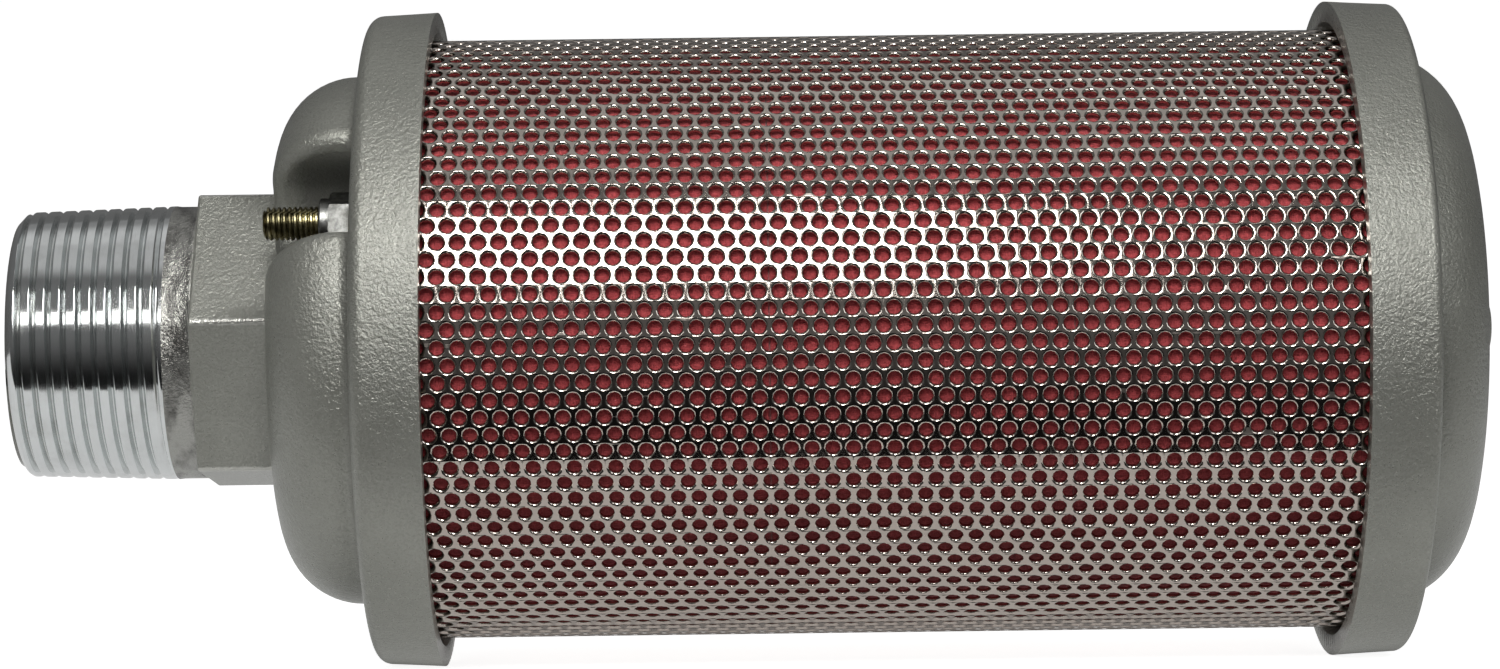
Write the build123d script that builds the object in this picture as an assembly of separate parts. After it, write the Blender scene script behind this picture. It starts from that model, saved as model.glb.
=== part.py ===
from build123d import *
import os
from math import atan2, cos, degrees, hypot, pi, radians, sin, tan

os.makedirs("parts", exist_ok=True)

# Exhaust muffler: two cast heads drawn together on a perforated screen by two tie rods.
# Sizes are in millimetres and degrees. The axis is X, from the end face of the inlet thread
# at X = 0 to the closed head, and Z is up.

# ---------------------------------------------------------------- driving dimensions

# Inlet neck: gas bore, taper pipe thread, plain shank, hexagon
bore_radius = 16.5
neck_wall = 3.9
thread_length = 24.0
thread_pitch = 2.309
thread_depth = 1.1
thread_half_angle = 27.5
thread_taper = 1 / 32
thread_lead_in = 1.5
shank_length = 4.4
shank_step = 0.65
shank_rounding = 0.8
hex_length = 12.2
hex_step = 0.15
hex_turn = 7.3
hex_rounding = 0.9

# Inlet dome: a flat front, a large rounding and a short collar
dome_step = 9.75
dome_rounding = 11.8
dome_collar = 2.2
casting_wall = 3.2

# Cap skirt around each end of the screen, with a spigot inside the core tube
cap_overhang = 4.35
cap_length = 10.3
cap_draft = 3.0
cap_floor = 3.1
lip_wall = 3.1
inlet_cap_rounding = 2.2
outlet_cap_rounding = 1.2
seat_step_length = 2.0
spigot_length = 3.0
spigot_wall = 2.65

# Closed outlet head, dished like a pressure vessel's end, with a cast boss on the axis
end_step = 8.1
end_knuckle = 12.4
end_crown = 175.0
end_sunk = 2.6
boss_radius = 3.85
boss_height = 2.4
boss_rounding = 0.6

# Screen, core tube and absorber felt
screen_radius = 46.15
screen_wall = 0.8
screen_length = 151.0
absorber_space = 6.75
core_wall = 0.8
core_hole_radius = 4.0
core_holes_round = 16
core_hole_rise = 13.0
core_end_margin = 7.0
felt_outer_lengths = (57.5, 44.2)
felt_inner_length = 75.5

# Tie rods with their lock nuts and washers
rod_angle = 144.0
rod_radius = 2.5
rod_proud = 8.4
rod_chamfer = 0.5
tap_depth = 11.0
tap_spare = 1.0
tap_boss_wall = 3.5
tap_boss_bite = 0.9
nut_hex_height = 3.6
nut_hex_step = 0.3
nut_collar_wall = 0.65
nut_collar_height = 1.5
nut_chamfer = 0.3
ring_wall = 0.55
ring_height = 1.1
ring_cover = 0.2
washer_rim = 1.0
washer_height = 1.0

# Pockets in the inlet dome, open outwards, which give a socket spanner room
spanner_room = 2.75
pocket_rounding = 2.3
pocket_wall = 3.0
pocket_floor = 4.0

# Clearances
screen_clearance = 0.2
spigot_clearance = 0.15
felt_clearance = 0.15
rod_clearance = 0.15
thread_clearance = 0.05
ring_clearance = 0.02

# ---------------------------------------------------------------- radii that follow from them

thread_start_radius = bore_radius + neck_wall
shank_radius = thread_start_radius + shank_step
hex_across_flats = 2 * (shank_radius + hex_step)
screen_bore_radius = screen_radius - screen_wall
core_radius = screen_bore_radius - absorber_space
core_bore_radius = core_radius - core_wall
spigot_radius = core_bore_radius - spigot_clearance
throat_radius = spigot_radius - spigot_wall
cap_radius = screen_radius + cap_overhang
dome_radius = cap_radius - dome_step
end_radius = cap_radius - end_step
tap_boss_radius = rod_radius + tap_boss_wall
rod_circle_radius = throat_radius + tap_boss_bite - tap_boss_radius
ring_radius = rod_radius + ring_wall
nut_collar_radius = ring_radius + nut_collar_wall
nut_across_flats = 2 * (nut_collar_radius + nut_hex_step)
washer_radius = nut_across_flats / 2 + washer_rim
pocket_half_width = washer_radius + spanner_room
through = 2 * cap_radius

# ---------------------------------------------------------------- places along the axis

shank_x = thread_length
hex_x = shank_x + shank_length
dome_x = hex_x + hex_length
dome_edge_x = dome_x + dome_rounding
inlet_face_x = dome_edge_x + dome_collar
inlet_seat_x = inlet_face_x + cap_floor
outlet_seat_x = inlet_seat_x + screen_length
outlet_face_x = outlet_seat_x + cap_floor
end_along = ((end_crown - end_knuckle) ** 2 - (end_radius - end_knuckle) ** 2) ** 0.5
end_x = outlet_face_x + end_crown - end_along - end_sunk
tap_mouth_x = outlet_seat_x - spigot_length
nut_seat_x = inlet_face_x - washer_height
nut_face_x = nut_seat_x - nut_hex_height - nut_collar_height
rod_start_x = nut_face_x - rod_proud
rod_end_x = tap_mouth_x + tap_depth - tap_spare

# ---------------------------------------------------------------- shared shapes


def turned(*edges):
    """A solid turned about X from a closed outline of (x, radius) edges."""
    return revolve(make_face(list(edges)), Axis.X, 360)


def turned_points(points):
    """A solid turned about X from the corners of its outline."""
    return turned(Polyline(*points, close=True))


def tube(start_x, end_x, outer, inner):
    """A plain tube on the axis."""
    return turned_points([(start_x, inner), (end_x, inner), (end_x, outer), (start_x, outer)])


def along_x(flat, start_x, length):
    """A flat outline in the YZ plane, carried along X from start_x."""
    return Pos(start_x, 0, 0) * extrude(Plane.YZ * flat, length)


def at_rod(shape, side):
    """A shape made on the X axis, moved to one of the two tie rods."""
    return Rot(rod_angle + 180 * side, 0, 0) * Pos(0, rod_circle_radius, 0) * shape


def on_rod_side(shape, side):
    """A shape made about the X axis with its feature towards +Y, turned to one tie rod."""
    return Rot(rod_angle + 180 * side, 0, 0) * shape


# ---------------------------------------------------------------- inlet head


def crest_radius(x):
    """Radius over the thread crests at x, on the pipe taper."""
    return thread_start_radius + thread_taper * x


def thread_outline():
    """The taper thread as V grooves, one for each turn, from the lead-in to the shank."""
    half_width = thread_depth * tan(radians(thread_half_angle))
    points = [(0, crest_radius(0) - thread_lead_in), (thread_lead_in, crest_radius(thread_lead_in))]
    middle = thread_lead_in + half_width + thread_pitch / 2
    while middle + half_width < thread_length:
        points.append((middle - half_width, crest_radius(middle - half_width)))
        points.append((middle, crest_radius(middle) - thread_depth))
        points.append((middle + half_width, crest_radius(middle + half_width)))
        middle += thread_pitch
    points.append((thread_length, crest_radius(thread_length)))
    return points


def inlet_neck():
    """Thread and shank, bored through for the gas."""
    corner = shank_x + shank_rounding
    points = thread_outline()
    points += [(corner, shank_radius), (dome_edge_x, shank_radius)]
    points += [(dome_edge_x, bore_radius), (0, bore_radius)]
    return turned_points(points)


def inlet_hexagon():
    """Spanner hexagon with rounded corners and a rounded outer rim."""
    flat = Rot(0, 0, -hex_turn) * RegularPolygon(hex_across_flats / 2, 6, major_radius=False)
    flat = fillet(flat.vertices(), hex_rounding)
    body = along_x(flat, hex_x, hex_length + casting_wall)
    body = fillet(body.faces().sort_by(Axis.X)[0].edges(), hex_rounding / 2)
    return body - tube(hex_x - 1, dome_edge_x, bore_radius, 0)


def pocket_outline(grow):
    """Slot with a round inner end about the tie rod, open away from the axis."""
    half = pocket_half_width + grow
    reach = through - rod_circle_radius
    slot = Circle(half) + Pos(reach / 2, 0) * Rectangle(reach, 2 * half)
    return Pos(rod_circle_radius, 0) * slot


def pocket_solids(grow, end_x):
    """Both pockets as solids that end at end_x."""
    slot = along_x(pocket_outline(grow), -1, end_x + 1)
    return [on_rod_side(slot, side) for side in (0, 1)]


def dome_outline(wall, end):
    """Edges of the inlet dome's half section, taken in by a wall, from its front to end."""
    rounding = dome_rounding - wall
    front = dome_edge_x - rounding
    radius = dome_radius - wall
    centre = (dome_edge_x, radius - rounding)
    arc = CenterArc(centre, rounding, 90, 90)
    rest = Polyline((dome_edge_x, radius), (end, radius), (end, 0), (front, 0),
                    (front, radius - rounding))
    return arc, rest


def skin_distance(point):
    """Distance of a point inside from the dome's front, rounding or collar."""
    radius = hypot(point.Y, point.Z)
    along = max(dome_edge_x - point.X, 0)
    out = max(radius - dome_radius + dome_rounding, 0)
    return dome_rounding - hypot(along, out)


def is_pocket_mouth(edge):
    """Is this edge where a pocket wall breaks out of the dome's outside?"""
    near_skin = 0.05
    points = [edge @ share for share in (0.25, 0.5, 0.75)]
    on_wall = all(abs(slot_distance(point)) < near_skin for point in points)
    on_skin = all(abs(skin_distance(point)) < near_skin for point in points)
    return on_wall and on_skin and points[1].X < inlet_seat_x - near_skin


def slot_distance(point):
    """Distance of a point from the nearer pocket's wall, seen along X."""
    turn = radians(rod_angle)
    along = abs(point.Y * cos(turn) + point.Z * sin(turn))
    across = -point.Y * sin(turn) + point.Z * cos(turn)
    inward = min(along - rod_circle_radius, 0)
    return hypot(inward, across) - pocket_half_width


def inlet_dome():
    """Solid dome with its two pockets, whose mouths are rounded."""
    body = turned(*dome_outline(0, inlet_seat_x))
    for pocket in pocket_solids(0, inlet_seat_x + 1):
        body -= pocket
    mouths = [edge for edge in body.edges() if is_pocket_mouth(edge)]
    return fillet(mouths, pocket_rounding)


def cap_outline(face_x, way, seat_radius):
    """Corners of a cap's half section: face_x is its outer face and way its open side."""
    lip_x = face_x + way * cap_length
    seat_x = face_x + way * cap_floor
    face_radius = cap_radius - cap_length * tan(radians(cap_draft))
    step_radius = screen_radius + screen_clearance
    return [
        (face_x, seat_radius),
        (face_x, face_radius),
        (lip_x, cap_radius),
        (lip_x, cap_radius - lip_wall),
        (seat_x + way * seat_step_length, cap_radius - lip_wall),
        (seat_x + way * seat_step_length, step_radius),
        (seat_x, step_radius),
        (seat_x, spigot_radius),
        (seat_x + way * spigot_length, spigot_radius),
        (seat_x + way * spigot_length, seat_radius),
    ]


def cap(face_x, way, rounding):
    """Cap ring with its skirt, screen seat and core spigot, rounded at the outer rim."""
    body = turned_points(cap_outline(face_x, way, throat_radius))
    face_radius = cap_radius - cap_length * tan(radians(cap_draft))
    rims = body.edges().filter_by(GeomType.CIRCLE)
    rim = [edge for edge in rims if abs(edge.radius - face_radius) < 1e-3]
    return fillet(rim, rounding)


def inlet_cavity():
    """Plenum under the dome, which leaves a wall and a floor around each pocket."""
    end = inlet_seat_x + spigot_length + 1
    body = turned(*dome_outline(casting_wall, end)) & tube(dome_x, end, throat_radius, 0)
    for pocket in pocket_solids(pocket_wall, inlet_face_x + pocket_floor):
        body -= pocket
    return body


def inlet_head():
    """Threaded cast head: neck, hexagon, dome with pockets and cap in one casting."""
    floor = turned_points([(inlet_face_x, 0), (inlet_seat_x, 0), (inlet_seat_x, dome_radius),
                           (inlet_face_x, dome_radius)])
    body = inlet_neck() + inlet_hexagon() + inlet_dome() + floor
    body += cap(inlet_face_x, 1, inlet_cap_rounding)
    below_pocket = along_x(Pos(rod_circle_radius, 0) * Circle(pocket_half_width + pocket_wall),
                           inlet_face_x, pocket_floor)
    inside = turned_points([(inlet_face_x, 0), (inlet_face_x + pocket_floor, 0),
                            (inlet_face_x + pocket_floor, throat_radius + 1),
                            (inlet_face_x, throat_radius + 1)])
    body -= inlet_cavity()
    for side in (0, 1):
        body += on_rod_side(below_pocket, side) & inside
    body -= tube(-1, dome_edge_x, bore_radius, 0)
    rod_hole = tube(rod_start_x, outlet_seat_x, rod_radius + rod_clearance, 0)
    for side in (0, 1):
        body -= at_rod(rod_hole, side)
    return body


# ---------------------------------------------------------------- outlet head


def dished_outline(wall, start):
    """Edges of a dished end's half section: crown arc, knuckle arc, collar, all less a wall."""
    crown = end_crown - wall
    knuckle = end_knuckle - wall
    radius = end_radius - wall
    crown_centre = end_x - end_crown
    along = ((crown - knuckle) ** 2 - (radius - knuckle) ** 2) ** 0.5
    turn = degrees(atan2(radius - knuckle, along))
    knuckle_x = crown_centre + along
    crown_arc = CenterArc((crown_centre, 0), crown, 0, turn)
    knuckle_arc = CenterArc((knuckle_x, radius - knuckle), knuckle, turn, 90 - turn)
    rest = Polyline((knuckle_x, radius), (start, radius), (start, 0), (crown_centre + crown, 0))
    return crown_arc, knuckle_arc, rest


def outlet_dome():
    """Dished end with the cast boss on its crown."""
    start = outlet_seat_x - spigot_length - 1
    body = turned(*dished_outline(0, start)) & tube(outlet_seat_x, end_x, cap_radius, 0)
    tip_x = end_x + boss_height
    boss = tube(outlet_face_x, tip_x, boss_radius, 0)
    rim = boss.edges().filter_by(GeomType.CIRCLE).sort_by(Axis.X)[-1]
    return body + fillet(rim, boss_rounding)


def outlet_cavity():
    """Hollow under the dished end, clear of the two tapped bosses."""
    start = outlet_seat_x - spigot_length - 1
    body = turned(*dished_outline(casting_wall, start)) & tube(start, end_x, throat_radius, 0)
    boss = tube(tap_mouth_x, end_x, tap_boss_radius, 0)
    for side in (0, 1):
        body -= at_rod(boss, side)
    return body


def outlet_head():
    """Closed cast head with blind tapped bosses for the tie rods."""
    body = outlet_dome() + cap(outlet_face_x, -1, outlet_cap_rounding)
    bosses = tube(tap_mouth_x, outlet_seat_x, tap_boss_radius, 0)
    inside = tube(tap_mouth_x, outlet_seat_x, throat_radius + 1, 0)
    for side in (0, 1):
        body += at_rod(bosses, side) & inside
    body -= outlet_cavity()
    tapped = tube(tap_mouth_x - 1, tap_mouth_x + tap_depth, rod_radius + thread_clearance, 0)
    for side in (0, 1):
        body -= at_rod(tapped, side)
    return body


# ---------------------------------------------------------------- screen, core and felt


def outer_screen():
    """Rolled screen tube, plain: its fine perforation is left to the finish."""
    return tube(inlet_seat_x, outlet_seat_x, screen_radius, screen_bore_radius)


def core_tube():
    """Rolled core tube with staggered rows of round holes."""
    body = tube(inlet_seat_x, outlet_seat_x, core_radius, core_bore_radius)
    clear = core_end_margin + core_hole_radius
    rows = int((screen_length - 2 * clear) / core_hole_rise) + 1
    first_x = (inlet_seat_x + outlet_seat_x - (rows - 1) * core_hole_rise) / 2
    step = 360 / core_holes_round
    cutters = []
    for row in range(rows):
        for index in range(core_holes_round):
            angle = step * (index + row % 2 / 2)
            cutter = Cylinder(core_hole_radius, 2 * core_wall + 2)
            place = Pos(first_x + row * core_hole_rise, 0, 0) * Rot(angle, 0, 0)
            cutters.append(place * Pos(0, 0, core_radius) * cutter)
    return body - cutters


def felt_bands(outer, inner, lengths, names):
    """Felt bands butted along the tube, the last one reaching to the outlet head."""
    start = inlet_seat_x
    bands = {}
    for name, length in zip(names, (*lengths, None)):
        end = outlet_seat_x if length is None else start + length
        bands[name] = tube(start, end, outer, inner)
        start = end
    return bands


def absorber():
    """Two wraps of felt, with their butt joints in different places."""
    inside = core_radius + felt_clearance
    outside = screen_bore_radius - felt_clearance
    middle = (inside + outside) / 2
    wraps = felt_bands(outside, middle + felt_clearance / 2, felt_outer_lengths,
                       ("outer_felt_inlet", "outer_felt_middle", "outer_felt_outlet"))
    wraps |= felt_bands(middle - felt_clearance / 2, inside, (felt_inner_length,),
                        ("inner_felt_inlet", "inner_felt_outlet"))
    return wraps


# ---------------------------------------------------------------- tie rods and their hardware


def tie_rod():
    """Round tie rod, chamfered at both ends."""
    body = tube(rod_start_x, rod_end_x, rod_radius, 0)
    ends = body.edges().filter_by(GeomType.CIRCLE)
    return chamfer(ends, rod_chamfer)


def ring_groove():
    """Room for the nylon ring inside the nut's collar."""
    start = nut_face_x + ring_cover
    outer = ring_radius + ring_clearance
    return tube(start, start + ring_height + 2 * ring_clearance, outer, 0)


def lock_nut():
    """Hexagon nut with a round collar that holds a nylon ring."""
    hex_start = nut_face_x + nut_collar_height
    flat = RegularPolygon(nut_across_flats / 2, 6, major_radius=False)
    hexagon = along_x(flat, hex_start, nut_hex_height)
    corner = nut_across_flats / 2 / cos(pi / 6)
    trim = turned_points([(hex_start, 0), (hex_start, corner - nut_chamfer),
                          (hex_start + nut_chamfer, corner + 0.01),
                          (nut_seat_x - nut_chamfer, corner + 0.01),
                          (nut_seat_x, corner - nut_chamfer), (nut_seat_x, 0)])
    collar = tube(nut_face_x, hex_start, nut_collar_radius, 0)
    rim = collar.edges().filter_by(GeomType.CIRCLE).sort_by(Axis.X)[0]
    body = (hexagon & trim) + fillet(rim, nut_chamfer)
    body -= tube(nut_face_x - 1, nut_seat_x + 1, rod_radius + thread_clearance, 0)
    return body - ring_groove()


def nylon_ring():
    """Locking ring inside the nut's collar."""
    start = nut_face_x + ring_cover + ring_clearance
    return tube(start, start + ring_height, ring_radius, rod_radius + ring_clearance)


def washer():
    """Plain washer on the pocket's floor."""
    return tube(nut_seat_x, inlet_face_x, washer_radius, rod_radius + rod_clearance)


# ---------------------------------------------------------------- assembly

nodes = {
    "inlet_head": inlet_head(),
    "outlet_head": outlet_head(),
    "outer_screen": outer_screen(),
    "core_tube": core_tube(),
    **absorber(),
}
for side, side_name in enumerate(("front", "rear")):
    nodes[f"tie_rod_{side_name}"] = at_rod(tie_rod(), side)
    nodes[f"lock_nut_{side_name}"] = at_rod(lock_nut(), side)
    nodes[f"nylon_ring_{side_name}"] = at_rod(nylon_ring(), side)
    nodes[f"washer_{side_name}"] = at_rod(washer(), side)

for name, shape in nodes.items():
    export_step(shape, f"parts/{name}.step")
print(f"length {end_x + boss_height:.2f} mm, {len(nodes)} parts")
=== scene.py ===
# %% [markdown]
# # An exhaust muffler, made of its own pieces
# Air leaves a valve or cylinder through a threaded neck, spreads into a perforated core tube,
# passes two wraps of red felt and comes out through a perforated screen. Two tie rods pull
# the cast heads together on the screen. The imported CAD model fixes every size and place. This
# lesson adds what the CAD leaves out: a real helix on the threads, some five thousand holes in
# the screen, fibres in the felt, and the finish of every surface.

# %% Load the frame
import math

import bmesh
import bpy
import numpy as np
from mathutils import Matrix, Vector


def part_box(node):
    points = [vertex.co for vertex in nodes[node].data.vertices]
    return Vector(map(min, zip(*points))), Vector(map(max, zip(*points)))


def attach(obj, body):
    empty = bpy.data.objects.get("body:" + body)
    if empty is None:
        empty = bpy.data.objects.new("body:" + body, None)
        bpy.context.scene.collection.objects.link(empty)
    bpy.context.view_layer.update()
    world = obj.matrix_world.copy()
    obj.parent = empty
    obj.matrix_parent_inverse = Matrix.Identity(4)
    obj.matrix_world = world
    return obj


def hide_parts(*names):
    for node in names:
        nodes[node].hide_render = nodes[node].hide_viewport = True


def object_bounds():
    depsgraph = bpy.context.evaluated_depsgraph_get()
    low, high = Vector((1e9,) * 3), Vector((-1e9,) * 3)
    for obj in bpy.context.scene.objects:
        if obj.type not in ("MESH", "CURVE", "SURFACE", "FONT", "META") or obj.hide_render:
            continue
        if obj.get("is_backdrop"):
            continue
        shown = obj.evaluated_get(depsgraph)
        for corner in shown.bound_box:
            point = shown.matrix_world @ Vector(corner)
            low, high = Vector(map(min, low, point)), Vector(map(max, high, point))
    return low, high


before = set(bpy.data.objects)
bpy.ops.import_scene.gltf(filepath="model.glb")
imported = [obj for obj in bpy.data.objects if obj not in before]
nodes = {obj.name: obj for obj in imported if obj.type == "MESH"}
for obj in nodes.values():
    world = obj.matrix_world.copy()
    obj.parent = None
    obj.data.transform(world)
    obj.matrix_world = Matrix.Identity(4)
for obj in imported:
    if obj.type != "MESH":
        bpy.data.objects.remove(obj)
cad_low, cad_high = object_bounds()
print("CAD nodes:", len(nodes))

# %% [markdown]
# ## Sizes
# All lengths below are in millimetres, because the real drawing is, and one factor turns them
# into Blender's metres. Places come from the boxes of the CAD nodes, so that nothing has to be
# fitted by eye. A box can't tell where one feature of the inlet casting ends and the next
# starts, so the few sizes of its neck and of its two nut pockets are written here.

# %% Measure the CAD nodes
MM = 0.001


def node_box(name):
    """Lowest and highest corner of a CAD node, in millimetres."""
    low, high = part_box(name)
    return np.array(low) / MM, np.array(high) / MM


screen_low, screen_high = node_box("outer_screen")
screen_start, screen_end = screen_low[0], screen_high[0]
screen_radius = screen_high[2]
screen_wall = 0.8
bore_radius = 16.5
thread_end, shank_end, hex_end = 24.0, 28.4, 40.6
hex_flat_radius, hex_rounding = 21.2, 0.9
hex_corner_radius = (hex_flat_radius - hex_rounding) / math.cos(math.pi / 6) + hex_rounding
pocket_mouth, pocket_floor, pocket_radius = 42.5, 54.8, 11.2
print("screen from", round(screen_start, 2), "to", round(screen_end, 2), "radius", round(screen_radius, 2))

# %% [markdown]
# ## The camera
# A long lens stands about three lengths away, level with the axis and looking straight across
# it, so that the muffler shows its side with little perspective. It is rolled by less than a
# degree. The camera comes first, because the lights are judged through it.

# %% Place the camera
camera_data = bpy.data.cameras.new("product_lens")
camera_data.lens = 100.8
camera_data.sensor_width = 36.0
camera = bpy.data.objects.new("product_camera", camera_data)
roll = math.radians(0.727)
right = (math.cos(roll), 0.0, -math.sin(roll))
up = (math.sin(roll), 0.0, math.cos(roll))
back = (0.0, -1.0, 0.0)
place = (0.1124, -0.651, 0.00016)
camera.matrix_world = Matrix([(*row, at) for row, at in zip(zip(right, up, back), place)] + [(0, 0, 0, 1)])
bpy.context.scene.collection.objects.link(camera)
bpy.context.scene.camera = camera
print("camera at", place)

# %% [markdown]
# ## Shader sums written as Python
# A material is a graph of nodes. Drawing sums as nodes is slow to read, so one small class
# wraps a socket: `mask * 0.3 + 0.1` adds the Math nodes by itself. Every other node comes from
# `node`, which sets the node's settings first and then fills its sockets.

# %% The wire class


class Wire:
    """One output socket. + - * / and ** on it add Math nodes; node() adds any other node."""

    def __init__(self, tree, socket=None):
        self.tree = tree
        self.socket = socket

    def node(self, kind, settings=None, sockets=None, out=0):
        """Adds a node, sets its settings, fills its sockets, and wraps one of its outputs."""
        made = self.tree.nodes.new("ShaderNode" + kind)
        for name, value in (settings or {}).items():
            setattr(made, name, value)
        for name, value in (sockets or {}).items():
            if isinstance(value, Wire):
                self.tree.links.new(value.socket, made.inputs[name])
            else:
                made.inputs[name].default_value = value
        return Wire(self.tree, made.outputs[out] if len(made.outputs) else None)

    def math(self, operation, first, second=0.0):
        """One Math node on two values or wires."""
        return self.node("Math", {"operation": operation}, {0: first, 1: second})

    def __add__(self, other):
        return self.math("ADD", self, other)

    __radd__ = __add__

    def __mul__(self, other):
        return self.math("MULTIPLY", self, other)

    __rmul__ = __mul__

    def __sub__(self, other):
        return self.math("SUBTRACT", self, other)

    def __rsub__(self, other):
        return self.math("SUBTRACT", other, self)

    def __truediv__(self, other):
        return self.math("DIVIDE", self, other)

    def __pow__(self, other):
        return self.math("POWER", self, other)

    def step(self, low, high):
        """0 below low, 1 above high and a smooth S between; with low above high it falls."""
        sockets = {"Value": self, "From Min": low, "From Max": high}
        return self.node("MapRange", {"interpolation_type": "SMOOTHSTEP"}, sockets)

    def blend(self, first, second):
        """Colour that goes from first to second as this value goes from 0 to 1."""
        return self.node("Mix", {"data_type": "RGBA"}, {0: self, 6: first, 7: second}, out=2)


def rgb(red, green, blue):
    """Linear colour from display values of 0 to 255."""
    return (*[(v / 255 / 12.92) if v < 10.3 else ((v / 255 + 0.055) / 1.055) ** 2.4
              for v in (red, green, blue)], 1.0)


def new_finish(name, build, **constants):
    """A Principled material: build(wire) gives its varying sockets, constants its fixed ones."""
    material = bpy.data.materials.new(name)
    material.use_nodes = True
    material.node_tree.nodes.clear()
    wire = Wire(material.node_tree)
    sockets = {key.replace("_", " "): value for key, value in constants.items()}
    sockets.update(build(wire))
    shader = wire.node("BsdfPrincipled", None, sockets)
    wire.node("OutputMaterial", None, {"Surface": shader})
    return material


def place_of(wire):
    """Object coordinates, in metres."""
    return wire.node("TexCoord", None, None, out=3)


def axis_of(wire, where, axis):
    """One coordinate of a place: 0 along the muffler, 1 in depth, 2 upward."""
    return wire.node("SeparateXYZ", None, {"Vector": where}, out=axis)


def reach_of(wire, where, centre=(0.0, 0.0, 0.0)):
    """Distance of a place from a line along X through a centre, in metres."""
    offset = wire.node("VectorMath", {"operation": "SUBTRACT"}, {0: where, 1: centre})
    across = wire.node("VectorMath", {"operation": "MULTIPLY"}, {0: offset, 1: (0, 1, 1)})
    return wire.node("VectorMath", {"operation": "LENGTH"}, {0: across}, out=1)


def noise(wire, where, size, detail=3.0, roughness=0.55):
    """Cloudy value of 0 to 1 whose lumps are about size metres wide."""
    sockets = {"Vector": where, "Scale": 1 / size, "Detail": detail, "Roughness": roughness}
    return wire.node("TexNoise", None, sockets)


def stretched(wire, where, along, across, depth):
    """The coordinates scaled apart along X, Y and Z, for grain that runs one way."""
    return wire.node("Mapping", None, {"Vector": where, "Scale": (along, across, depth)})


def bump(wire, height, distance, strength=1.0):
    """Normal bent by a height of 0 to 1 that stands for distance metres."""
    return wire.node("Bump", None, {"Height": height, "Distance": distance, "Strength": strength})


print("shader helpers ready")

# %% [markdown]
# ## Finish: hammered enamel
# Both heads are die castings under a grey enamel. Its skin has a fine orange peel that
# sparkles near a highlight, a few specks of dirt, and soft patches that are a shade lighter or
# darker. Two noises make the peel, one seven tenths of a millimetre wide and one finer. The
# specks are Voronoi cells of which only a few, chosen by their random colour, are let through.
# The hexagon's corners are lighter and more metallic, partly spanner wear and partly a painted
# highlight along their roundings, and the shank was masked off when the head was painted, so it
# shows the stained metal of the casting.

# %% Enamel for the heads


def specks(wire, where, spacing, size, share):
    """1 on rare round dots, 0 elsewhere; share is how many of the cells hold a dot."""
    cells = {"Vector": where, "Scale": 1 / spacing}
    distance = wire.node("TexVoronoi", None, cells, out=0)
    colour = wire.node("TexVoronoi", None, cells, out=1)
    chosen = wire.node("SeparateColor", None, {"Color": colour}, out=0)
    dot = distance.step(size / spacing, size / spacing * 0.4)
    return dot * chosen.math("LESS_THAN", chosen, share)


def pocket_shade(wire, where):
    """1 deep in the two nut pockets, where the enamel is darkened as painted shade, 0 on the open skin."""
    shade = None
    for side in ("front", "rear"):
        low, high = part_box(f"tie_rod_{side}")
        centre = (0.0, (low[1] + high[1]) / 2, (low[2] + high[2]) / 2)
        along = axis_of(wire, where, 0)
        inside = along.step(pocket_mouth * MM, (pocket_mouth + 4.0) * MM)
        inside = inside * along.step(pocket_floor * MM, (pocket_floor - 0.8) * MM)
        near = reach_of(wire, where, centre)
        near = near.step(pocket_radius * MM, (pocket_radius - 3.2) * MM) * inside
        shade = near if shade is None else shade + near
    return shade


def corner_wear_and_highlight(wire, where):
    """1 along the rounded corners of the spanner hexagon, 0 elsewhere: spanner wear and a painted
    highlight.
    """
    along = axis_of(wire, where, 0)
    on_hexagon = along.step((shank_end - 0.4) * MM, (shank_end + 0.2) * MM)
    on_hexagon = on_hexagon * along.step((hex_end + 0.6) * MM, (hex_end - 0.2) * MM)
    reach = reach_of(wire, where) + noise(wire, where, 0.0016, 3.0) * 0.0003
    return reach.step((hex_corner_radius - 0.07) * MM, (hex_corner_radius + 0.07) * MM) * on_hexagon


def enamel(wire):
    """Warm grey paint with orange peel, soft patches, a few specks and a bare shank."""
    where = place_of(wire)
    cloud = noise(wire, where, 0.028, 3.0)
    peel = noise(wire, where, 0.0007, 2.0)
    grain = noise(wire, where, 0.00045, 3.0, 0.7)
    dirt = specks(wire, where, 0.0095, 0.0008, 0.12)
    edge = axis_of(wire, where, 0) + noise(wire, where, 0.003) * 0.0008
    bare = edge.step((shank_end + 0.5) * MM, shank_end * MM)
    painted_pocket_shade = pocket_shade(wire, where)
    wear_and_highlight = corner_wear_and_highlight(wire, where)
    paint = cloud.step(0.3, 0.7).blend(rgb(139, 140, 133), rgb(152, 153, 146))
    paint = (grain.step(0.40, 0.68) * 0.30).blend(paint, rgb(108, 109, 103))
    paint = (dirt * 0.6).blend(paint, rgb(70, 68, 60))
    # Painted shade: deep in the nut pockets the enamel is darker, rougher and less metallic.
    paint = (painted_pocket_shade * 0.75).blend(paint, rgb(62, 62, 58))
    crust = noise(wire, stretched(wire, where, 0.7, 0.4, 0.4), 0.0022, 4.0, 0.6)
    metal = crust.step(0.38, 0.70).blend(rgb(170, 170, 165), rgb(104, 103, 100))
    height = peel * 0.5 + grain * 0.5 + bare * crust * 0.7 - dirt * 0.4
    # Along the hexagon's corners the colour is lighter and more metallic: spanner wear and a painted
    # highlight.
    return {
        "Base Color": bare.blend(wear_and_highlight.blend(paint, rgb(192, 192, 186)), metal),
        "Roughness": 0.21 + grain * 0.12 + cloud * 0.04 + painted_pocket_shade * 0.2 - bare * 0.06,
        "Metallic": 0.58 + (bare + wear_and_highlight) * 0.3 - painted_pocket_shade * 0.3,
        "Coat Weight": (1 - bare) * 0.1,
        "Normal": bump(wire, height, 0.00034, 1.0),
    }


cast_enamel = new_finish("cast_enamel", enamel, Coat_Roughness=0.25, Specular_IOR_Level=0.5)
print("made", cast_enamel.name)

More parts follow.
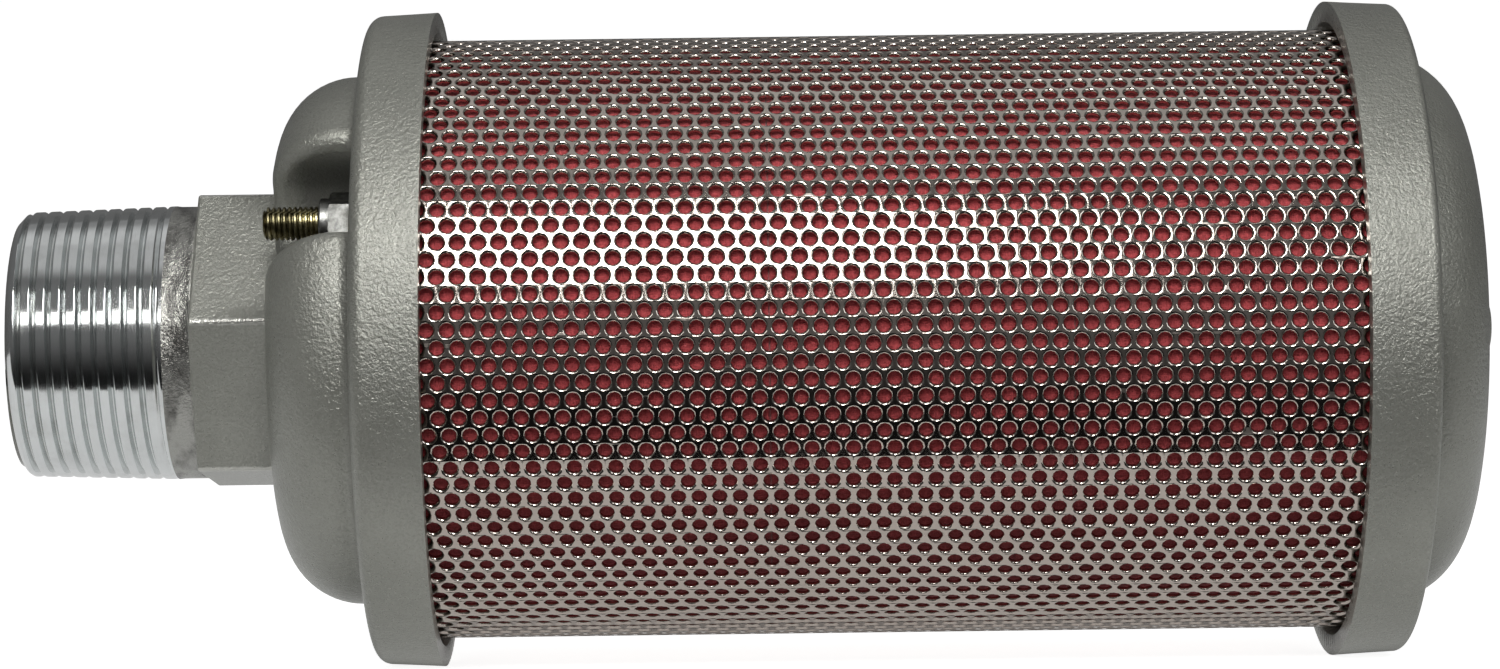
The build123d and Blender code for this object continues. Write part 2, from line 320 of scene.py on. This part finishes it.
# %% [markdown]
# ## Finish: turned metal
# The inlet thread is cut on a lathe through the bare metal. A tool leaves hundreds of fine
# rings that run round the axis, so the noise is squeezed along X and drawn out round it, and
# it moves both the roughness and the bump. The colour is a little darker in the roots.

# %% Metal for the inlet thread


def turned_metal(wire):
    """Lathe-cut metal with fine rings round X, soft stains and darker roots."""
    where = place_of(wire)
    rings = noise(wire, stretched(wire, where, 9.0, 0.5, 0.5), 0.0016, 3.0, 0.6)
    cloud = noise(wire, where, 0.006, 4.0, 0.6)
    stain = cloud.step(0.42, 0.75)
    root = reach_of(wire, where).step(20.2 * MM, 18.5 * MM)
    colour = (stain * 0.5 + rings * 0.35).blend(rgb(230, 233, 233), rgb(200, 202, 201))
    # The colour is darker in the roots of the thread.
    colour = (root * 0.6).blend(colour, rgb(150, 148, 142))
    return {
        "Base Color": colour,
        "Roughness": 0.05 + rings * 0.09 + stain * 0.08,
        "Normal": bump(wire, rings + cloud * 0.2, 0.000009, 0.7),
    }


thread_metal = new_finish("thread_metal", turned_metal, Metallic=1.0)
print("made", thread_metal.name)

# %% [markdown]
# ## Finish: rolled steel sheet
# The screen is perforated flat and then rolled. Rolling leaves a faint grain along the sheet
# and handling leaves soft smudges. The holes are real geometry, so the finish only has to
# carry the grain, the smudges and a few hairline scratches.

# %% Steel for the screen and the core tube


def rolled_steel(bright, dull, base_roughness):
    """Recipe of a bright sheet with faint grain along X, soft smudges and hairlines."""

    def build(wire):
        where = place_of(wire)
        grain = noise(wire, stretched(wire, where, 0.12, 2.2, 2.2), 0.0011, 3.0, 0.6)
        smudge = noise(wire, where, 0.017, 3.0, 0.6)
        hairs = noise(wire, stretched(wire, where, 0.25, 5.0, 3.0), 0.004, 1.0).step(0.705, 0.73)
        colour = (smudge * 0.5 + grain * 0.3).blend(bright, dull)
        return {
            "Base Color": colour,
            "Roughness": base_roughness + grain * 0.06 + smudge.step(0.45, 0.75) * 0.07 + hairs * 0.2,
            "Normal": bump(wire, grain + hairs, 0.00001, 0.6),
        }

    return build


screen_steel = new_finish("rolled_screen_steel", rolled_steel(
    rgb(200, 192, 184), rgb(172, 162, 154), 0.07), Metallic=1.0)
core_steel = new_finish("rolled_core_steel", rolled_steel(
    rgb(190, 190, 188), rgb(150, 150, 150), 0.32), Metallic=1.0)
print("made", screen_steel.name, core_steel.name)

# %% [markdown]
# ## Finish: felt
# Pressed felt is short red fibres lying every way. Two noises drawn out across each other give
# threads one or two tenths of a millimetre wide, and a third, even and fine, gives the tips,
# the lightest of them nearly pink. The surface is almost fully rough, and a little sheen stands
# for the loose fibre ends that catch light.

# %% Red felt


def felt_fibres(wire):
    """Crossing fibres, light tips and soft patches, for a pressed red felt."""
    where = place_of(wire)
    first = noise(wire, stretched(wire, where, 0.5, 3.0, 3.0), 0.0006, 3.0, 0.7)
    second = noise(wire, stretched(wire, where, 3.0, 0.6, 0.6), 0.0006, 3.0, 0.7)
    third = noise(wire, where, 0.0005, 4.0, 0.75)
    patch = noise(wire, where, 0.011, 3.0)
    fibres = first.math("MAXIMUM", first, second) * 0.6 + third * 0.4
    colour = fibres.step(0.35, 0.72).blend(rgb(118, 38, 42), rgb(210, 92, 96))
    colour = (third.step(0.62, 0.78) * 0.5).blend(colour, rgb(222, 150, 150))
    colour = (patch.step(0.35, 0.7) * 0.3).blend(colour, rgb(126, 44, 47))
    return {"Base Color": colour, "Roughness": 0.9 + third * 0.1,
            "Normal": bump(wire, fibres, 0.0002, 0.9)}


red_felt = new_finish("red_felt", felt_fibres, Sheen_Weight=0.35, Sheen_Roughness=0.5,
                      Specular_IOR_Level=0.2)
print("made", red_felt.name)

# %% [markdown]
# ## Finish: zinc and nylon
# The tie rods are zinc plated steel that has taken oil and dust in its threads, so they read
# dark olive with bright crests. The nuts and washers are a cleaner, neutral grey. The locking
# rings are natural nylon, milky and slightly see-through at the edge.

# %% Zinc for the rods and nuts


def zinc(bright, dull, grime, base_roughness, amount):
    """Recipe of zinc plate: spangled clouds between two shades and grime in patches."""

    def build(wire):
        where = place_of(wire)
        spangle = noise(wire, where, 0.0012, 4.0, 0.65)
        film = noise(wire, where, 0.0035, 4.0, 0.6)
        colour = spangle.step(0.35, 0.7).blend(bright, dull)
        colour = (film.step(0.35, 0.65) * amount).blend(colour, grime)
        return {
            "Base Color": colour,
            "Roughness": base_roughness + spangle * 0.15 + film * 0.12,
            "Normal": bump(wire, spangle, 0.00002, 0.6),
        }

    return build


rod_zinc = new_finish("oily_rod_zinc", zinc(
    rgb(188, 180, 142), rgb(98, 90, 60), rgb(42, 38, 22), 0.16, 0.7), Metallic=1.0)
nut_zinc = new_finish("bright_nut_zinc", zinc(
    rgb(158, 159, 156), rgb(108, 109, 107), rgb(64, 61, 54), 0.24, 0.55), Metallic=1.0)
print("made", rod_zinc.name, nut_zinc.name)

# %% Nylon for the locking rings


def nylon_cloud(wire):
    """Milky plastic with soft clouds and a fine moulded grain."""
    where = place_of(wire)
    cloud = noise(wire, where, 0.0022, 3.0)
    grain = noise(wire, where, 0.00025, 2.0)
    colour = cloud.step(0.3, 0.7).blend(rgb(214, 210, 196), rgb(188, 182, 164))
    return {"Base Color": colour, "Roughness": 0.42 + grain * 0.12,
            "Normal": bump(wire, grain, 0.00002, 0.5)}


natural_nylon = new_finish("natural_nylon", nylon_cloud, Subsurface_Weight=0.1,
                           Subsurface_Scale=0.001)
print("made", natural_nylon.name)

# %% [markdown]
# ## From numbers to a piece
# A shape is worked out as whole numpy arrays. A grid of points becomes quads, points that fall
# on the same place are merged so that seams and poles are closed, and quads that collapse to a
# triangle or a line are cleaned up. The object stays at the origin, with its place in its mesh.

# %% Grids and meshes


def grid_quads(rows, columns, around=True):
    """Corner numbers of the quads of a rows by columns grid, closed along its columns."""
    row, column = np.meshgrid(np.arange(rows - 1), np.arange(columns if around else columns - 1),
                              indexing="ij")
    here = row * columns + column
    side = row * columns + (column + 1) % columns
    return np.stack([here, side, side + columns, here + columns], axis=-1).reshape(-1, 4)


def merged(points, quads):
    """Points with equal places joined, the quads renumbered, and collapsed quads cleaned."""
    keys = np.round(points * 2e4).astype(np.int64)
    _, first, number = np.unique(keys, axis=0, return_index=True, return_inverse=True)
    quads = number.reshape(-1)[quads]
    same = np.stack([quads[:, i] == quads[:, (i + 1) % 4] for i in range(4)], axis=1)
    opposite = (quads[:, 0] == quads[:, 2]) | (quads[:, 1] == quads[:, 3])
    faces = quads[(same.sum(axis=1) == 0) & ~opposite].tolist()
    for corner in range(4):
        short = (same.sum(axis=1) == 1) & same[:, corner] & ~opposite
        faces += np.delete(quads[short], corner, axis=1).tolist()
    return points[first], faces, first


def new_piece(name, points, quads, material, node, sharp=35.0):
    """A mesh object from points in millimetres, which rides on the one body for a CAD node."""
    points, faces, kept = merged(points, quads)
    mesh = bpy.data.meshes.new(name)
    mesh.from_pydata((points * MM).tolist(), [], faces)
    mesh.materials.append(material)
    mesh.polygons.foreach_set("use_smooth", np.ones(len(mesh.polygons), dtype=bool))
    if sharp:
        mesh.set_sharp_from_angle(angle=math.radians(sharp))
    piece = bpy.data.objects.new(name, mesh)
    bpy.context.scene.collection.objects.link(piece)
    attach(piece, "root")
    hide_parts(node)
    print(name, "faces", len(faces))
    return piece, kept


def round_points(along, radius, angle):
    """Points about the X axis: (x, r cos a, r sin a), from three arrays of one shape."""
    return np.stack([along, radius * np.cos(angle), radius * np.sin(angle)], axis=-1)


# %% [markdown]
# ## Screw threads
# A thread is a groove carried along a helix. The radius at a place depends on one number, the
# turn it lies on: its distance along the axis over the pitch, less its angle over a full turn.
# The grid follows the helix too, so that crest and root edges stay crisp with few faces. At
# both ends the grid is clipped flat, and the points that pile up there are merged.

# %% A helical skin


def thread_skin(start, end, pitch, crest, depth, half_angle, columns):
    """Points of a right-hand thread from start to end.

    Half a groove has a root, a rounded foot, a flank, a rubbed edge and the crest's flat. It is
    mirrored to make the profile over one pitch. At column angle a the profile is moved by
    pitch * a / (2 pi), and clipped to the ends. crest(x) is the radius over the crests, and the
    groove gets shallower over the last pitch. Returns arrays x, radius and angle.
    """
    half = depth * math.tan(math.radians(half_angle)) / pitch
    rim = half + 0.035
    side = np.array([0.12 * half, 0.45 * half, half, rim, rim + 0.03, 0.5])
    sunk = np.array([0.97, 0.62, 0.04, 0.0, 0.0, 0.0])
    share = np.concatenate([-side[::-1], side[:-1]])
    sunk = np.concatenate([sunk[::-1], sunk[:-1]])
    turns = np.arange(-2, int((end - start) / pitch) + 3)
    profile = (turns[:, None] + 0.5 + share[None, :]).reshape(-1)
    angle = np.linspace(0, 2 * np.pi, columns, endpoint=False)
    along = start + pitch * (profile[:, None] + angle[None, :] / (2 * np.pi))
    clipped = np.clip(along, start, end)
    turn = ((clipped - start) / pitch - angle[None, :] / (2 * np.pi)) % 1.0
    level = np.interp(turn, share + 0.5, sunk, period=1.0)
    fade = np.clip((end - clipped) / pitch, 0, 1)
    radius = crest(clipped) - depth * level * fade
    return clipped, radius, np.broadcast_to(angle, clipped.shape)


def stacked(parts):
    """Rows of (x, radius, angle) put one after another, as points and the number of rows."""
    points = round_points(*[np.concatenate([part[i] for part in parts]) for i in range(3)])
    return points, len(points)


print("thread helper ready")

# %% [markdown]
# ## The inlet thread
# The neck carries a taper pipe thread, eleven turns to the inch, one unit wider for every
# sixteen along. The CAD holds rings in its place, so the visual model swaps in a sleeve: the
# helix outside, a chamfer where it starts, the end face, and a hidden inner wall that closes
# it. Handling has rubbed its crests flat, which is why the flats are wide and bright.

# %% Cut the inlet thread


def pipe_crest(x):
    """Crest radius of the pipe taper, cut back by the chamfer at the start."""
    return np.minimum(pipe_radius + x / 32, pipe_radius - chamfer_depth + x * 1.05)


def pipe_ring(at, radius):
    """One ring of points on the sleeve's hidden inside."""
    return np.full((1, neck_columns), at), np.full((1, neck_columns), radius), helix[2][:1]


neck_columns = 144
pipe_radius, chamfer_depth = 20.4, 1.5
pipe_pitch = 2.309
sleeve_bore = bore_radius + 0.9
helix = thread_skin(0.0, thread_end, pipe_pitch, pipe_crest, 1.0, 26.0, neck_columns)
points, rows = stacked([pipe_ring(1.0, sleeve_bore), pipe_ring(0.0, bore_radius), helix,
                        pipe_ring(thread_end, 20.9), pipe_ring(thread_end, sleeve_bore),
                        pipe_ring(1.0, sleeve_bore)])
new_piece("inlet_thread", points.reshape(-1, 3), grid_quads(rows, neck_columns),
          thread_metal, "inlet_head")

# %% [markdown]
# ## The two cast heads
# The castings come straight from the CAD, whose mesh is loose triangles. A copy is merged, the
# ring grooves are taken off the inlet head where the helical sleeve stands, and edges sharper
# than thirty degrees stay sharp while the rest is shaded smooth. Normals weighted by the size
# of the faces keep the hexagon's flats flat beside their small roundings.

# %% Copy the castings


def is_ring_groove(face):
    """Does this face lie on the neck's outside, where the helical sleeve stands?"""
    outside = max(math.hypot(v.co.y, v.co.z) for v in face.verts) > (bore_radius + 0.1) * MM
    return outside and max(v.co.x for v in face.verts) < (thread_end + 0.001) * MM


def casting(name, node, drop=None):
    """Makes a merged, smooth-shaded copy of a CAD node, less the faces that drop picks out."""
    work = bmesh.new()
    work.from_mesh(nodes[node].data)
    bmesh.ops.remove_doubles(work, verts=work.verts, dist=1e-6)
    if drop:
        gone = [face for face in work.faces if drop(face)]
        bmesh.ops.delete(work, geom=gone, context="FACES")
    mesh = bpy.data.meshes.new(name)
    work.to_mesh(mesh)
    work.free()
    mesh.polygons.foreach_set("use_smooth", np.ones(len(mesh.polygons), dtype=bool))
    mesh.set_sharp_from_angle(angle=math.radians(30))
    mesh.materials.clear()
    mesh.materials.append(cast_enamel)
    piece = bpy.data.objects.new(name, mesh)
    bpy.context.scene.collection.objects.link(piece)
    weighted = piece.modifiers.new("flat_faces_stay_flat", "WEIGHTED_NORMAL")
    weighted.keep_sharp = True
    weighted.weight = 100
    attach(piece, "root")
    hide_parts(node)
    print(name, "faces", len(mesh.polygons))


casting("inlet_casting", "inlet_head", is_ring_groove)
casting("outlet_casting", "outlet_head")

# %% [markdown]
# ## The perforated screen
# Holes of two millimetres stand three apart in rows, and each row is shifted by half a step.
# One small tile holds one hole: its outer edge is a brick of three by one row pitch, and the
# rings inside it are the rolled-over rim that the punch leaves, the hole's wall, and the same
# tile's inner face. Bricks in shifted rows share their corners, so copies of the tile join
# into one skin. Twelve points round each hole are enough, because the true normals are given
# to the mesh and the rims shade as round.

# %% One tile of the screen
hole_pitch, hole_radius = 3.0, 1.0
hole_sides = 12
rows_round = 112
row_angle = 2 * np.pi / rows_round
half_row = screen_radius * row_angle / 2
inner_radius = screen_radius - screen_wall


def screen_tile():
    """The tile's rings: their places along and across, their radius and their normals.

    A ring's normal leans towards the hole's centre by its tilt, so 0 is straight out of the
    sheet and 90 degrees is level with it.
    """
    turn = np.arange(hole_sides) * 2 * np.pi / hole_sides
    side = hole_pitch / 2
    brick = np.array([(side, 0), (side, half_row / 2), (side, half_row), (0, half_row),
                      (-side, half_row), (-side, half_row / 2)])
    brick = np.concatenate([brick, -brick])
    circle = np.stack([np.cos(turn), np.sin(turn)], axis=-1)
    hole = circle * hole_radius
    rings = [(brick, screen_radius, 0), (hole * 1.41, screen_radius, 4),
             (hole * 1.20, screen_radius - 0.09, 36), (hole, screen_radius - 0.36, 76),
             (hole, inner_radius, 130), (brick, inner_radius, 180)]
    flat = np.stack([ring for ring, _, _ in rings])
    radius = np.array([[value] * hole_sides for _, value, _ in rings])
    tilt = np.radians([[value] * hole_sides for _, _, value in rings])
    lean = -circle[None] * np.sin(tilt)[..., None]
    return flat, radius, np.cos(tilt), lean


flat, tile_radius, tile_out, tile_lean = screen_tile()
tile_quads = grid_quads(len(flat), hole_sides)[:, ::-1]
print("tile points", flat.size // 2, "quads", len(tile_quads))

# %% [markdown]
# The tile is repeated by adding every hole's place to it at once. The sheet is made in eight
# staves so that each mesh stays light. Every second row has one hole fewer, because it starts
# half a step later. Plain strips fill the ends of the rows, and a wall closes each stave on its
# four sides.

# %% Repeat the tile
plain_margin = 2.0
first_x = screen_start + plain_margin
cells_long = int((screen_end - screen_start - 2 * plain_margin) / hole_pitch)


def stave_rows(row_from, row_to):
    """All the tiles of some rows: points, normals and quads."""
    rows = np.repeat(np.arange(row_from, row_to), cells_long)
    cells = np.tile(np.arange(cells_long), row_to - row_from)
    keep = ~((rows % 2 == 1) & (cells == cells_long - 1))
    rows, cells = rows[keep], cells[keep]
    centre_x = first_x + hole_pitch * (cells + 0.5 + 0.5 * (rows % 2))
    centre_a = row_angle * (rows + 0.5)
    along = centre_x[:, None, None] + flat[None, :, :, 0]
    angle = centre_a[:, None, None] + flat[None, :, :, 1] / screen_radius
    radius = np.broadcast_to(tile_radius, along.shape)
    points = round_points(along, radius, angle)
    radial = round_points(np.zeros_like(angle), np.ones_like(angle), angle)
    tangent = round_points(np.zeros_like(angle), np.ones_like(angle), angle + np.pi / 2)
    normals = radial * tile_out[..., None] + tangent * tile_lean[..., 1:2]
    normals[..., 0] += tile_lean[..., 0]
    quads = tile_quads[None] + (np.arange(len(rows)) * tile_radius.size)[:, None, None]
    return points.reshape(-1, 3), normals.reshape(-1, 3), quads.reshape(-1, 4)


def plain_patch(along, angle, radius, out):
    """A strip of plain sheet over a grid of places along and angles, facing out or in."""
    a, x = np.meshgrid(angle, along, indexing="ij")
    points = round_points(x, np.full_like(x, radius), a)
    normals = round_points(np.zeros_like(a), np.full_like(a, 1.0 if out else -1.0), a)
    quads = grid_quads(len(angle), len(along), around=False)
    return points.reshape(-1, 3), normals.reshape(-1, 3), quads[:, ::-1] if out else quads


def wall_patch(along, angle, normal, flip):
    """A strip through the sheet's thickness, along a line of places and angles."""
    edges = [round_points(along, np.full_like(angle, r), angle) for r in (screen_radius, inner_radius)]
    points = np.concatenate(edges)
    quads = grid_quads(2, len(along), around=False)
    return points, np.broadcast_to(normal, points.shape), quads[:, ::-1] if flip else quads


def joined(parts):
    """Several (points, normals, quads) put into one."""
    offsets = np.cumsum([0] + [len(part[0]) for part in parts[:-1]])
    return (np.concatenate([part[0] for part in parts]),
            np.concatenate([part[1] for part in parts]),
            np.concatenate([part[2] + at for part, at in zip(parts, offsets)]))


def stave(row_from, row_to):
    """One stave of the screen, closed all round."""
    parts = [stave_rows(row_from, row_to)]
    row_ends = first_x + hole_pitch * cells_long
    for row in range(row_from, row_to):
        angle = row_angle * (row + np.linspace(0, 1, 5))
        low = [screen_start, first_x] + ([first_x + hole_pitch / 2] if row % 2 else [])
        high = ([row_ends - hole_pitch / 2] if row % 2 else []) + [row_ends, screen_end]
        for along in (low, high):
            parts.append(plain_patch(along, angle, screen_radius, True))
            parts.append(plain_patch(along, angle, inner_radius, False))
    steps = np.arange(2 * cells_long + 1) * hole_pitch / 2 + first_x
    along = np.concatenate([[screen_start], steps, [screen_end]])
    for row, flip in ((row_from, False), (row_to, True)):
        parts.append(wall_patch(along, np.full_like(along, row_angle * row), (0.0, 0.0, 1.0), flip))
    angle = row_angle * np.linspace(row_from, row_to, 4 * (row_to - row_from) + 1)
    for at, flip in ((screen_start, True), (screen_end, False)):
        normal = (-1.0 if flip else 1.0, 0.0, 0.0)
        parts.append(wall_patch(np.full_like(angle, at), angle, normal, flip))
    return joined(parts)


staves = 8
for index in range(staves):
    row_from, row_to = index * rows_round // staves, (index + 1) * rows_round // staves
    points, normals, quads = stave(row_from, row_to)
    piece, kept = new_piece(f"screen_stave_{index + 1}", points, quads, screen_steel,
                            "outer_screen", sharp=None)
    normals = normals[kept] / np.linalg.norm(normals[kept], axis=1, keepdims=True)
    piece.data.normals_split_custom_set_from_vertices(normals.tolist())

# %% [markdown]
# ## The felt wraps
# Five bands of felt fill the space between the core tube and the screen, three outside two.
# Each was a flat strip before it was wound on the tube. A band is a closed ring with rounded
# edges, whose outside rises and falls by about a tenth of a millimetre, so the holes of the
# screen don't all show it at the same depth.

# %% Wind the felt
felt_thickness = 3.15
felt_round = 2 * np.pi * 44
felt_columns = 180
screen_gap, felt_lump = 0.60, 0.12


def felt_profile(start, end, inner, outer):
    """Closed outline of a band as (x, radius): two straight faces and four rounded corners."""
    corner, across = 0.45, 40
    turn = np.linspace(0, np.pi / 2, 5)
    top = np.linspace(start + corner, end - corner, across)
    arc = corner * (1 - np.sin(turn)), corner * (1 - np.cos(turn))
    rise = np.stack([start + arc[0][::-1], outer - arc[1][::-1]], axis=-1)
    fall = np.stack([end - arc[0], outer - arc[1]], axis=-1)
    under = np.stack([end - arc[0][::-1], inner + arc[1][::-1]], axis=-1)
    back = np.stack([start + arc[0], inner + arc[1]], axis=-1)
    face = np.stack([top, np.full(across, outer)], axis=-1)
    foot = np.stack([top[::-1], np.full(across, inner)], axis=-1)
    return np.concatenate([rise, face, fall, under, foot, back, rise[:1]])


def lumps(along, angle, seed, size):
    """The mean of twelve sine waves of random direction, each about size millimetres long.

    Each wave goes a whole number of times round the band, so that it closes on itself.
    """
    pick = np.random.default_rng(seed)
    waves_round = felt_round / size
    total = np.zeros(np.broadcast(along, angle).shape)
    for _ in range(12):
        way, phase = pick.uniform(0, 2 * np.pi, 2)
        turns = np.round(np.sin(way) * waves_round)
        total = total + np.sin(along * np.cos(way) * 2 * np.pi / size + turns * angle + phase)
    return total / 12


def felt_band(node, seed):
    """One felt ring in the space of its CAD node."""
    low, high = node_box(node)
    outer = high[2]
    inner = outer - felt_thickness
    middle = (inner + outer) / 2
    profile = felt_profile(low[0], high[0], inner, outer)
    turn = np.linspace(0, 2 * np.pi, felt_columns, endpoint=False)
    x, angle = np.meshgrid(profile[:, 0], turn, indexing="ij")
    radius = np.broadcast_to(profile[:, 1:], x.shape)
    sunk = screen_gap + felt_lump * (1 + lumps(x, angle, seed, 9.0) * 2).clip(0, 2)
    points = round_points(x, radius - (radius > middle) * sunk, angle)
    piece, _ = new_piece(node + "_wrap", points.reshape(-1, 3),
                         grid_quads(len(profile), felt_columns), red_felt, node, 60.0)
    2 * math.pi * middle * MM
    float(high[0] - low[0]) * MM


felt_nodes = [name for name in sorted(nodes) if "felt" in name]
for seed, name in enumerate(felt_nodes):
    felt_band(name, seed + 3)

# %% [markdown]
# ## The tie rods
# Each rod is five millimetres thick and threaded at both ends with a standard coarse thread of
# 0.8 pitch: one end screws into the closed head and the other takes the lock nut. Between them
# it is plain. The rod is made about the X axis and then carried out to its place and turned.

# %% Thread and place the rods
rod_columns = 36
rod_pitch, rod_thread_depth, rod_threaded = 0.8, 0.42, 22.0


def rod_skin(start, end, radius):
    """Skin of a rod about X: chamfered ends, two threaded stretches and a plain middle."""

    def crest(x):
        """Radius over the crests, less a chamfer of half a millimetre at both ends."""
        return np.minimum(radius, radius - 0.5 + np.minimum(x - start, end - x))

    def tip(at):
        """The middle of an end face, as a ring of no radius."""
        return np.full((1, rod_columns), at), np.zeros((1, rod_columns)), left[2][:1]

    cut = (rod_pitch, crest, rod_thread_depth, 30.0, rod_columns)
    left = thread_skin(start, start + rod_threaded, *cut)
    right = thread_skin(end - rod_threaded, end, *cut)
    return stacked([tip(start), left, right, tip(end)])


def placed(points, turn, out):
    """Points moved out along +Y by out and turned about X by turn."""
    moved = points + np.array([0.0, out, 0.0])
    y = moved[..., 1] * math.cos(turn) - moved[..., 2] * math.sin(turn)
    z = moved[..., 1] * math.sin(turn) + moved[..., 2] * math.cos(turn)
    return np.stack([moved[..., 0], y, z], axis=-1)


for side in ("front", "rear"):
    low, high = node_box(f"tie_rod_{side}")
    _, y, z = (low + high) / 2
    points, rows = rod_skin(low[0], high[0], (high[2] - low[2]) / 2)
    points = placed(points, math.atan2(z, y), math.hypot(y, z))
    new_piece(f"tie_rod_{side}_threaded", points.reshape(-1, 3),
              grid_quads(rows, rod_columns), rod_zinc, f"tie_rod_{side}")

# %% [markdown]
# ## Nuts, washers, rings and the core tube
# These nodes already have their true shape in the CAD: a chamfered hexagon with a round
# collar, a plain washer, a nylon ring and a perforated tube. They stay, and each gets its own
# finish in place of the CAD's flat colour.

# %% Finish the CAD nodes that stay
stay = {"core_tube": core_steel}
for side in ("front", "rear"):
    stay[f"lock_nut_{side}"] = nut_zinc
    stay[f"washer_{side}"] = nut_zinc
    stay[f"nylon_ring_{side}"] = natural_nylon
for name, material in stay.items():
    for slot in nodes[name].material_slots:
        slot.material = material
print("finished", len(stay), "CAD nodes")

# %% [markdown]
# ## The stage
# The muffler lies on a wide white sheet that curves up behind it: flat, then a quarter circle,
# then upright, carried along X. What the eye sees and what the metal mirrors are kept apart. The
# eye sees the big sheet, which glows enough to stay white. The metal mirrors a smaller table top
# that ends just in front of the muffler, so its lower flank shows a dark band and then a pale
# one. The table is darkest right under the screen. Each of the two is simply not visible to the
# other kind of ray.

# %% A pale sweep and a table top


def paper(shade):
    """Recipe of matt paper with a barely visible tooth, shade times as light as white."""

    def build(wire):
        where = place_of(wire)
        tooth = noise(wire, where, 0.002, 3.0)
        light, lighter = 0.88 * shade, 0.93 * shade
        return {"Base Color": tooth.blend((light, light, light, 1), (lighter, lighter, lighter, 1)),
                "Roughness": 0.85 + tooth * 0.1}

    return build


def table_paper(wire):
    """The same paper a little darker, and darkest in the muffler's own shadow right under it."""
    where = place_of(wire)
    depth = axis_of(wire, where, 1)
    beside = depth.math("ABSOLUTE", depth).step(2 * MM, 12 * MM)
    lit = beside.math("MAXIMUM", beside, axis_of(wire, where, 0).step(50 * MM, 35 * MM))
    return paper(0.8)(wire) | {"Emission Color": lit.blend((0.3, 0.3, 0.3, 1), (1, 1, 1, 1))}


def stage_sheet(name, depth, height, across, material):
    """A sheet carried along X: a profile of depths and heights, in millimetres."""
    points = np.stack(np.broadcast_arrays(across[None, :], depth[:, None], height[:, None]), axis=-1)
    mesh = bpy.data.meshes.new(name)
    mesh.from_pydata((points.reshape(-1, 3) * MM).tolist(), [],
                     grid_quads(len(depth), len(across), around=False).tolist())
    mesh.materials.append(material)
    mesh.polygons.foreach_set("use_smooth", np.ones(len(mesh.polygons), dtype=bool))
    sheet = bpy.data.objects.new(name, mesh)
    bpy.context.scene.collection.objects.link(sheet)
    sheet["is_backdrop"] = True
    return sheet


floor_z = cad_low[2] / MM
turn = np.linspace(0, np.pi / 2, 16)
sweep = stage_sheet(
    "pale_sweep",
    np.concatenate([[-3000, -700, 0, 2500], 2500 + 500 * np.sin(turn[1:]), [3000]]),
    np.concatenate([[0, 0, 0, 0], 500 * (1 - np.cos(turn[1:])), [3000]]) + floor_z,
    np.linspace(-3000, 3200, 9), new_finish("sweep_paper", paper(1.0), Emission_Strength=0.88,
                                          Emission_Color=(1, 1, 1, 1)))
sweep.visible_diffuse = False
sweep.visible_glossy = False
table = stage_sheet("table_top", np.array([-72.0, 100.0, 300.0, 600.0]), np.full(4, floor_z - 0.3),
                    np.linspace(-700, 900, 9),
                    new_finish("table_paper", table_paper, Emission_Strength=0.48))
table.visible_camera = False
print("floor at", round(floor_z, 2))

# %% [markdown]
# ## The light
# Metal shows what it reflects, so the light is laid out as what the screen should mirror: a
# bright box high in front on the inlet's side, a lower and flatter one that only the neck
# mirrors, darkness round the lens, and weak boxes above and at the outlet. A wide fill beside
# the lens lights the enamel and the felt, and no metal mirrors it. Each box is an area light
# aimed at one point.

# %% Soft boxes


def soft_box(name, at, aim, size, watts, tint=(1.0, 1.0, 1.0)):
    """A rectangular area light at one point, facing another, both in metres."""
    data = bpy.data.lights.new(name, "AREA")
    data.shape = "RECTANGLE"
    data.size, data.size_y = size
    data.energy = watts
    data.color = tint
    lamp = bpy.data.objects.new(name, data)
    ray = np.array(aim) - np.array(at)
    ray = ray / np.linalg.norm(ray)
    level = np.cross(ray, (0.0, 0.0, 1.0))
    level = level / np.linalg.norm(level)
    upward = np.cross(level, ray)
    lamp.matrix_world = Matrix([(level[i], upward[i], -ray[i], at[i]) for i in range(3)] + [(0, 0, 0, 1)])
    bpy.context.scene.collection.objects.link(lamp)
    return lamp


middle = (0.113, 0.0, 0.0)
soft_box("front_box", (0.069, -0.60, 0.39), (0.069, 0.0, 0.0), (0.238, 0.36), 3.5, (1.0, 0.99, 0.97))
soft_box("inlet_box", (-0.22, -0.60, 0.25), (-0.10, 0.0, 0.0), (0.30, 0.11), 0.34, (1.0, 0.99, 0.97))
soft_box("top_box", (0.11, 0.30, 0.75), middle, (0.9, 0.5), 0.15)
soft_box("side_box", (0.62, -0.60, 0.38), middle, (0.35, 0.4), 1.0)
fill = soft_box("lens_fill", (0.113, -0.90, 0.05), middle, (0.8, 0.5), 1.35)
fill.visible_glossy = False

# %% [markdown]
# Around the boxes the room is dim: nearly black below, grey at eye level and lighter overhead,
# while a straight look at the backdrop gives white. The room's shade follows the height of the
# direction that a ray leaves in, which is -1 straight down and 1 straight up.

# %% The room
world = bpy.data.worlds.new("studio_room")
bpy.context.scene.world = world
world.use_nodes = True
world.node_tree.nodes.clear()
room = Wire(world.node_tree)
straight = room.node("LightPath", None, None, out=0)
direction = room.node("TexCoord", None, None, out=0)
rise = axis_of(room, direction, 2)
shade = 0.008 + rise.step(-0.5, 0.2) * 0.13 + rise.step(0.82, 0.94) * 0.35
walls = room.node("Background", None, {"Color": (1, 1, 1, 1), "Strength": shade})
white = room.node("Background", None, {"Color": (1, 1, 1, 1), "Strength": 1.0})
both = room.node("MixShader", None, {0: straight, 1: walls, 2: white})
room.node("OutputWorld", None, {"Surface": both})
bpy.context.scene.view_settings.view_transform = "Standard"

# %% Print both boxes
low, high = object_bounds()
print("CAD", [round(v, 4) for v in cad_high - cad_low], "visual", [round(v, 4) for v in high - low])
